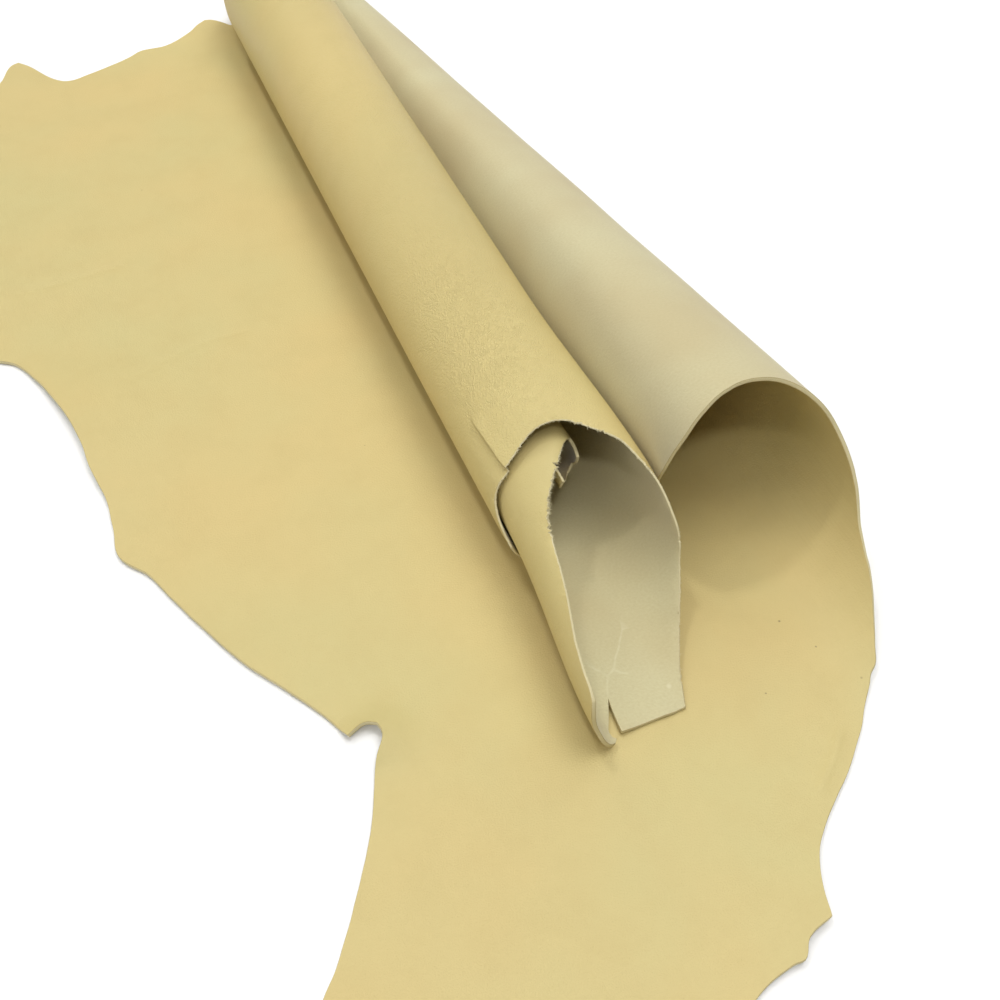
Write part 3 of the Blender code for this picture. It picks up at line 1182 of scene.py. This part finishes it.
def build_sheet(name):
    bm = bmesh.new()
    uv_layer = bm.loops.layers.uv.new("pattern")
    depth_layer = bm.verts.layers.float.new("depth")
    mark_layers = {mark: bm.verts.layers.float.new(mark) for mark in marks}
    grain = [bm.verts.new(point) for point in grain_points]
    flesh = [bm.verts.new(point) for point in flesh_points]
    layers = [grain[: len(rim)]]
    for ring in rings:
        layers.append([bm.verts.new(point) for point in ring])
    layers.append(flesh[: len(rim)])
    place_of = {}
    for verts in [grain, flesh, *layers]:
        for index, vert in enumerate(verts):
            place_of[vert] = flat_places[index]
            for mark, layer in mark_layers.items():
                vert[layer] = marks[mark][index]
    shares = [0, *[row[0] for row in EDGE_RINGS], 1]
    for vert in flesh:
        vert[depth_layer] = 1.0
    for verts, share in zip(layers, shares):
        for vert in verts:
            vert[depth_layer] = share
    for a, b, c in triangles:
        bm.faces.new((grain[a], grain[b], grain[c])).material_index = GRAIN_FINISH
        bm.faces.new((flesh[c], flesh[b], flesh[a])).material_index = FLESH_FINISH
    count = len(rim)
    for upper, lower in zip(layers, layers[1:]):
        for index in range(count):
            after = (index + 1) % count
            face = bm.faces.new((upper[after], upper[index], lower[index], lower[after]))
            face.material_index = EDGE_FINISH
    for face in bm.faces:
        for loop in face.loops:
            loop[uv_layer].uv = place_of[loop.vert]
    mesh = bpy.data.meshes.new(name)
    bm.to_mesh(mesh)
    bm.free()
    return mesh


SHARP_ANGLE_DEG = 42
sheet_mesh = build_sheet("leather_sheet")
sheet_mesh.shade_smooth()
sheet_mesh.set_sharp_from_angle(angle=math.radians(SHARP_ANGLE_DEG))
sheet = new_object("leather_sheet", sheet_mesh)
print("sheet faces", len(sheet_mesh.polygons))

# %% [markdown]
# Torn leather shows its fibres: fine, pale, tapered and a little curly. One fibre is modelled
# as a three-sided ring drawn out, tapered and bent, and then copied with its own length,
# lean and twist. All copies are joined, so that they stay one light piece.

# %% One fibre
FIBRE_RADIUS = 0.00017
FIBRE_SIDES = 3
# Columns: step out, step aside, taper
FIBRE_STEPS = (
    (0.26, 0.03, 0.88),
    (0.26, 0.08, 0.80),
    (0.26, 0.14, 0.65),
    (0.22, 0.16, 0.25),
)


def model_fibre():
    """One fibre of length 1 along +Z, with a radius of 1, as corners and faces."""
    bpy.ops.object.select_all(action="DESELECT")
    bpy.ops.mesh.primitive_circle_add(vertices=FIBRE_SIDES, radius=1, fill_type="NGON")
    made = bpy.context.object
    bpy.ops.object.mode_set(mode="EDIT")
    bpy.ops.mesh.select_all(action="SELECT")
    for out, aside, taper in FIBRE_STEPS:
        bpy.ops.mesh.extrude_region_move(TRANSFORM_OT_translate={"value": (aside, 0, out)})
        bpy.ops.transform.resize(value=(taper, taper, 1))
    bpy.ops.object.mode_set(mode="OBJECT")
    places = np.array([vert.co[:] for vert in made.data.vertices])
    faces = [tuple(face.vertices) for face in made.data.polygons]
    bpy.data.objects.remove(made)
    return places, faces


fibre_places, fibre_faces = model_fibre()
print("one fibre has", len(fibre_faces), "faces")

# %% [markdown]
# The fibres grow where the rim is rough. Each stands on a random place of the edge and leans its
# own way. The draw is seeded, so the same fibres come back on every run.

# %% Fibres along the torn edges
FIBRE_SEED = 7
FIBRES_PER_POINT = 10
ROUGHNESS_POWER = 1.6
FIBRE_SHORT = 0.0006
FIBRE_LONG = 0.0034
SHORTNESS_POWER = 2.2
SMOOTH_EDGE_LENGTH = 0.3
FIBRE_ROOT = 0.0004
ROOT_DEPTHS = (0.15, 0.98)
RADIUS_CHANGES = (0.6, 1.3)
LEAN = 0.55
UPWARD = 0.45
BENDS = (0.1, 1.2)
BEND_SHARE = 0.3


def fibre_matrix(root, ahead, length, radius, draw):
    """A matrix that sets a fibre on its root, pointing ahead, turned by chance."""
    turn = ahead.to_track_quat("Z", "Y").to_matrix().to_4x4()
    twist = Matrix.Rotation(draw.uniform(0, 2 * math.pi), 4, "Z")
    bend = draw.uniform(*BENDS)
    stretch = Matrix.Diagonal((radius, radius, length, 1))
    lean = Matrix.Identity(4)
    lean[0][2] = bend * BEND_SHARE
    return Matrix.Translation(root) @ turn @ twist @ lean @ stretch


def grow_fibres(name):
    draw = random.Random(FIBRE_SEED)
    corners_made = []
    faces_made = []
    for index, (point, across, roughness) in enumerate(rim):
        wanted = roughness**ROUGHNESS_POWER * FIBRES_PER_POINT
        amount = int(wanted) + (draw.random() < wanted - int(wanted))
        if amount == 0:
            continue
        out = outward_at(point, across)
        normal = normal_at(point.x, point.y)
        beside = out.cross(normal)
        for _ in range(amount):
            share = draw.uniform(*ROOT_DEPTHS)
            root = grain_points[index].lerp(flesh_points[index], share)
            root = root + beside * draw.uniform(-EDGE_STEP / 2, EDGE_STEP / 2) - out * FIBRE_ROOT
            sideways = beside * draw.gauss(0, LEAN) + normal * draw.gauss(UPWARD, LEAN)
            reach = (FIBRE_LONG - FIBRE_SHORT) * draw.random() ** SHORTNESS_POWER
            reach *= SMOOTH_EDGE_LENGTH + (1 - SMOOTH_EDGE_LENGTH) * roughness
            length = FIBRE_SHORT + reach
            ahead = (out + sideways).normalized()
            radius = FIBRE_RADIUS * draw.uniform(*RADIUS_CHANGES)
            matrix = fibre_matrix(root, ahead, length + FIBRE_ROOT, radius, draw)
            start = len(corners_made)
            corners_made += [matrix @ Vector(place) for place in fibre_places]
            faces_made += [tuple(start + corner for corner in face) for face in fibre_faces]
    mesh = bpy.data.meshes.new(name)
    mesh.from_pydata([corner[:] for corner in corners_made], [], faces_made)
    mesh.shade_smooth()
    return mesh


fibre_mesh = grow_fibres("torn_fibres")
fibres = new_object("torn_fibres", fibre_mesh)
print("fibre faces", len(fibre_mesh.polygons))

# %% [markdown]
# The materials are made of nodes. A few helpers keep them short: they give a socket a value or
# join it to another socket, add a node and do sums.

# %% Node helpers
def new_material(name):
    """A material with its node tree and its shader."""
    material = bpy.data.materials.new(name)
    material.use_nodes = True
    tree = material.node_tree
    return material, tree, tree.nodes["Principled BSDF"]


def feed(tree, socket, value):
    """Joins a socket to another one, or sets it to a value."""
    if isinstance(value, bpy.types.NodeSocket):
        tree.links.new(value, socket)
    else:
        socket.default_value = value


def feed_all(tree, node, values):
    for name, value in values.items():
        feed(tree, node.inputs[name], value)


def add(tree, kind, settings=(), **sockets):
    """A new node. Settings are its own options, sockets its inputs: a value or another socket."""
    node = tree.nodes.new(kind)
    for name, value in dict(settings).items():
        setattr(node, name, value)
    feed_all(tree, node, {name.replace("_", " "): value for name, value in sockets.items()})
    return node


def math_node(tree, operation, first, second):
    node = add(tree, "ShaderNodeMath", {"operation": operation})
    feed(tree, node.inputs[0], first)
    feed(tree, node.inputs[1], second)
    return node.outputs[0]


def times(tree, first, second):
    return math_node(tree, "MULTIPLY", first, second)


def plus(tree, first, second):
    return math_node(tree, "ADD", first, second)


# %% [markdown]
# The next helpers mix colours, stretch a value's range, make noise, read the texture map and the
# mesh's marks, and turn a height into relief.

# %% Colour and texture helpers
def mix_colour(tree, share, first, second):
    node = add(tree, "ShaderNodeMix", {"data_type": "RGBA"})
    for index, value in ((0, share), (6, first), (7, second)):
        feed(tree, node.inputs[index], value)
    return node.outputs[2]


def spread(tree, value, low, high):
    """A value stretched so that low becomes 0 and high becomes 1, held between them."""
    return add(tree, "ShaderNodeMapRange", Value=value, From_Min=low, From_Max=high).outputs[0]


def cloud(tree, place, scale, detail, roughness=0.5):
    """A soft noise over the pattern, about 0 to 1."""
    sockets = {"Vector": place, "Scale": scale, "Detail": detail, "Roughness": roughness}
    return add(tree, "ShaderNodeTexNoise", **sockets).outputs[0]


def pattern_place(tree):
    return add(tree, "ShaderNodeUVMap", {"uv_map": "pattern"}).outputs[0]


def mark(tree, name):
    """One of the marks that the mesh carries."""
    return add(tree, "ShaderNodeAttribute", {"attribute_name": name}).outputs["Fac"]


def bump(tree, height, distance, strength):
    return add(tree, "ShaderNodeBump", Height=height, Distance=distance, Strength=strength).outputs[0]


# %% [markdown]
# Undyed, vegetable-tanned grain is a warm straw colour, paler where the tan took less. It is
# smooth and nearly matt, with a fine pebble that shows where the leather is bent. The tones are
# wide clouds, and the pebble is small cells with a blur, deeper in colour along their seams.

# %% Grain finish
GRAIN_WARM = (0.640, 0.505, 0.215, 1)
GRAIN_PALE = (0.600, 0.510, 0.225, 1)
GRAIN_DEEP = (0.560, 0.440, 0.180, 1)
GRAIN_BRIGHT = (0.800, 0.655, 0.275, 1)
SPOT_DARK = (0.230, 0.160, 0.070, 1)
SPOT_PALE = (0.780, 0.730, 0.520, 1)
# Painted shade: the dark brown that the shaded patches are mixed towards
SHADE_AND_TONE_COLOUR = (0.110, 0.074, 0.024, 1)
# Noise and cells, per metre of leather
WIDE_SCALE = 5.0
PATCH_SCALE = 26.0
PEBBLE_SCALE = 500.0
BLUR_SCALE = 430.0
FINE_SCALE = 900.0
STREAK_SCALE = 800.0
# How much of its colour each patch gives at full strength
SHADE_AND_TONE_SHARE = 0.92
BRIGHT_SHARE = 0.65
PATCH_SHARE = 0.35
SEAM_SHARE = 0.30
STREAK_SHARE = 0.40
# How strong the pebble is off its patches, and how much it gains on them
PEBBLE_LEAST = 0.12
PEBBLE_GAIN = 0.88
PEBBLE_BLUR = 1.6
PEBBLE_BUMP = 0.00055
FINE_RELIEF = 0.5
FINE_ROUGHNESS = 0.12
GRAIN_ROUGHNESS = 0.46
STREAK_ANGLE = math.radians(29)
STREAK_STRETCH = 0.03


def spotted_and_shaded(tree, colour):
    """The colour with the hide's dark and pale spots, the painted shade in the roll and its curl, and a
    faint darker patch on the roll's top.
    """
    spot = mark(tree, "spot")
    colour = mix_colour(tree, spread(tree, spot, 0.0, 1.0), colour, SPOT_DARK)
    colour = mix_colour(tree, spread(tree, spot, 0.0, -1.0), colour, SPOT_PALE)
    # Mixes in the painted shade of the curl and the inner wall under the mouth's rim
    return mix_colour(tree, times(tree, mark(tree, "painted_shade_and_tone"), SHADE_AND_TONE_SHARE), colour, SHADE_AND_TONE_COLOUR)


def streaks(tree, place):
    """Fine slanting streaks where the loop strains the grain."""
    stretch = {"Rotation": (0, 0, STREAK_ANGLE), "Scale": (1, STREAK_STRETCH, 1)}
    turned = add(tree, "ShaderNodeMapping", Vector=place, **stretch)
    streak = spread(tree, cloud(tree, turned.outputs[0], STREAK_SCALE, 2.0), 0.42, 0.70)
    return times(tree, times(tree, streak, mark(tree, "streaked")), STREAK_SHARE)


def grain_material():
    material, tree, shader = new_material("grain")
    place = pattern_place(tree)
    wide = spread(tree, cloud(tree, place, WIDE_SCALE, 3.0), 0.35, 0.65)
    colour = mix_colour(tree, wide, GRAIN_WARM, GRAIN_PALE)
    patches = spread(tree, cloud(tree, place, PATCH_SCALE, 4.0, 0.6), 0.45, 0.80)
    colour = mix_colour(tree, times(tree, patches, PATCH_SHARE), colour, GRAIN_DEEP)
    pebbled = mark(tree, "pebbled")
    colour = mix_colour(tree, times(tree, pebbled, BRIGHT_SHARE), colour, GRAIN_BRIGHT)
    amount = plus(tree, times(tree, pebbled, PEBBLE_GAIN), PEBBLE_LEAST)
    kind = {"feature": "DISTANCE_TO_EDGE"}
    cells = add(tree, "ShaderNodeTexVoronoi", kind, Vector=place, Scale=PEBBLE_SCALE)
    plump = spread(tree, cells.outputs["Distance"], 0.0, 0.30)
    blurred = times(tree, cloud(tree, place, BLUR_SCALE, 3.0, 0.55), PEBBLE_BLUR)
    pebble = times(tree, plus(tree, plump, blurred), amount)
    seam = times(tree, math_node(tree, "SUBTRACT", 1.0, plump), amount)
    colour = mix_colour(tree, times(tree, seam, SEAM_SHARE), colour, GRAIN_DEEP)
    colour = mix_colour(tree, streaks(tree, place), colour, GRAIN_DEEP)
    fine = cloud(tree, place, FINE_SCALE, 4.0, 0.6)
    relief_height = plus(tree, pebble, times(tree, fine, FINE_RELIEF))
    feed_all(tree, shader, {
        "Base Color": spotted_and_shaded(tree, colour),
        "Roughness": plus(tree, times(tree, fine, FINE_ROUGHNESS), GRAIN_ROUGHNESS),
        "Specular IOR Level": 0.35,
        "Normal": bump(tree, relief_height, PEBBLE_BUMP, 0.9),
    })
    return material


# %% [markdown]
# The flesh side is the back of the skin. It is paler and greyer, it has a short nap like suede
# that scatters light, and faint veins show on it. Sheen on the shader stands for the nap.

# %% Flesh finish
FLESH_PALE = (0.640, 0.590, 0.355, 1)
FLESH_WARM = (0.580, 0.495, 0.275, 1)
FLESH_DEEP = (0.500, 0.425, 0.230, 1)
VEIN_PALE = (0.760, 0.730, 0.520, 1)
FLESH_WIDE_SCALE = 7.0
NAP_SCALE = 520.0
BROKEN_SCALE = 150.0
SPECKLE_SHARE = 0.50
VEIN_SHARE = 0.40
NAP_BUMP = 0.0004


def flesh_material():
    material, tree, shader = new_material("flesh")
    place = pattern_place(tree)
    wide = spread(tree, cloud(tree, place, FLESH_WIDE_SCALE, 3.0), 0.35, 0.65)
    colour = mix_colour(tree, wide, FLESH_PALE, FLESH_WARM)
    nap = cloud(tree, place, NAP_SCALE, 5.0, 0.65)
    speckle = times(tree, spread(tree, nap, 0.30, 0.75), SPECKLE_SHARE)
    colour = mix_colour(tree, speckle, colour, FLESH_DEEP)
    broken = spread(tree, cloud(tree, place, BROKEN_SCALE, 2.0), 0.20, 0.60)
    vein = times(tree, times(tree, mark(tree, "vein"), broken), VEIN_SHARE)
    feed_all(tree, shader, {
        "Base Color": spotted_and_shaded(tree, mix_colour(tree, vein, colour, VEIN_PALE)),
        "Roughness": 0.85,
        "Specular IOR Level": 0.2,
        "Sheen Weight": 0.25,
        "Sheen Roughness": 0.6,
        "Normal": bump(tree, nap, NAP_BUMP, 0.6),
    })
    return material


# %% [markdown]
# A cut edge shows the layers: a thin darker skin of grain, then pale, loosely felted fibres, then
# the flesh side, which has browned a little. The "depth" attribute runs from grain to flesh. A
# torn edge bares the fibres, so it is paler, and the fibres that stand out are the palest.

# %% Edge finish
EDGE_SKIN = (0.460, 0.350, 0.150, 1)
EDGE_CORE = (0.640, 0.560, 0.320, 1)
EDGE_BACK = (0.420, 0.320, 0.150, 1)
EDGE_LAYERS = ((0.0, EDGE_SKIN), (0.16, EDGE_CORE), (0.80, EDGE_CORE), (1.0, EDGE_BACK))
TORN_PALE = (0.800, 0.735, 0.490, 1)
FIBRE_PALE = (0.920, 0.860, 0.630, 1)
TORN_SHARE = 0.85
# How much of the painted shade the cut edge takes
EDGE_SHADE_AND_TONE_SHARE = 0.45
FELT_SCALE = 1100.0
FELT_SHIFT = 0.25
FIBRE_TONE_SCALE = 900.0
FELT_BUMP = 0.0004


def edge_material():
    material, tree, shader = new_material("cut_edge")
    felt = cloud(tree, pattern_place(tree), FELT_SCALE, 4.0, 0.65)
    moved = times(tree, math_node(tree, "SUBTRACT", felt, 0.5), FELT_SHIFT)
    ramp = add(tree, "ShaderNodeValToRGB", Fac=plus(tree, mark(tree, "depth"), moved))
    elements = ramp.color_ramp.elements
    while len(elements) < len(EDGE_LAYERS):
        elements.new(0.5)
    for element, (position, colour) in zip(elements, EDGE_LAYERS):
        element.position = position
        element.color = colour
    colour = mix_colour(tree, times(tree, mark(tree, "torn"), TORN_SHARE), ramp.outputs[0], TORN_PALE)
    # The edge takes part of the painted shade in the curl and under the mouth's rim
    painted_shade_and_tone = times(tree, mark(tree, "painted_shade_and_tone"), EDGE_SHADE_AND_TONE_SHARE)
    feed_all(tree, shader, {
        "Base Color": mix_colour(tree, painted_shade_and_tone, colour, SHADE_AND_TONE_COLOUR),
        "Roughness": 0.9,
        "Specular IOR Level": 0.15,
        "Normal": bump(tree, felt, FELT_BUMP, 0.8),
    })
    return material


def fibre_material():
    material, tree, shader = new_material("fibre")
    place = add(tree, "ShaderNodeTexCoord").outputs["Object"]
    tone = spread(tree, cloud(tree, place, FIBRE_TONE_SCALE, 2.0), 0.3, 0.7)
    feed_all(tree, shader, {
        "Base Color": mix_colour(tree, tone, FIBRE_PALE, EDGE_CORE),
        "Roughness": 0.8,
        "Specular IOR Level": 0.25,
    })
    return material


for finish in (grain_material(), flesh_material(), edge_material()):
    sheet_mesh.materials.append(finish)
fibre_mesh.materials.append(fibre_material())
print("materials", [material.name for material in sheet_mesh.materials])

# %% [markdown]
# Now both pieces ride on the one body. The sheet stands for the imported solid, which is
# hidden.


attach(sheet, "root")
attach(fibres, "root")
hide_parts("hide")

# %% [markdown]
# The hide lies on a plain white floor in a white tent, which glows from all round. Such a tent
# could be one bright world, but it isn't even: it glows most from high on the right. So it is
# built of broad distant lamps, each with its height, its bearing and its strength, and two small
# lamps draw the two soft shadows that lie inside the loop.

# %% Floor
FLOOR_SIZE = 12.0
FLOOR_COLOUR = (0.93, 0.93, 0.93, 1)
FLOOR_GAP = 0.0002


def make_floor():
    bpy.ops.object.select_all(action="DESELECT")
    bpy.ops.mesh.primitive_plane_add(size=FLOOR_SIZE, location=(0, 0, -FLOOR_GAP))
    floor = bpy.context.object
    floor.name = "floor"
    material, tree, shader = new_material("floor")
    feed_all(tree, shader, {"Base Color": FLOOR_COLOUR, "Roughness": 0.9})
    floor.data.materials.append(material)


make_floor()
print("floor", FLOOR_SIZE, "m square")

# %% Light
TENT_ANGLE_DEG = 32
SMALL_LAMP_ANGLE_DEG = 5
# Columns: degrees above the floor, degrees round from +Y towards +X, strength
TENT_LAMPS = (
    (78, 95, 0.75),
    (68, 0, 0.08),
    (68, 60, 0.40),
    (68, 120, 0.30),
    (68, 180, 0.28),
    (45, 0, 0.38),
    (45, 45, 0.26),
    (45, 225, 0.26),
    (45, 270, 0.34),
    (45, 315, 0.08),
    (20, 45, 0.39),
    (20, 225, 0.16),
    (20, 270, 0.31),
)
SMALL_LAMPS = (
    (67, 335, 0.42),
    (58, 198, 0.45),
)


def add_distant_lamps(name, rows, angle_deg):
    for index, (height_deg, bearing_deg, strength) in enumerate(rows):
        height, bearing = math.radians(height_deg), math.radians(bearing_deg)
        level = math.cos(height)
        towards = Vector((level * math.sin(bearing), level * math.cos(bearing), math.sin(height)))
        data = bpy.data.lights.new(f"{name}_{index}", "SUN")
        data.energy = strength
        data.angle = math.radians(angle_deg)
        lamp = new_object(f"{name}_{index}", data)
        lamp.rotation_euler = towards.to_track_quat("Z", "Y").to_euler()


def pale_backdrop():
    """A world that is white to the eye of the camera and gives hardly any light."""
    world = bpy.data.worlds.new("backdrop")
    world.use_nodes = True
    tree = world.node_tree
    seen = tree.nodes.new("ShaderNodeLightPath").outputs["Is Camera Ray"]
    tree.nodes["Background"].inputs["Color"].default_value = (1, 1, 1, 1)
    tree.links.new(seen, tree.nodes["Background"].inputs["Strength"])
    bpy.context.scene.world = world


add_distant_lamps("tent_lamp", TENT_LAMPS, TENT_ANGLE_DEG)
add_distant_lamps("small_lamp", SMALL_LAMPS, SMALL_LAMP_ANGLE_DEG)
pale_backdrop()
bpy.context.scene.view_settings.view_transform = "Standard"
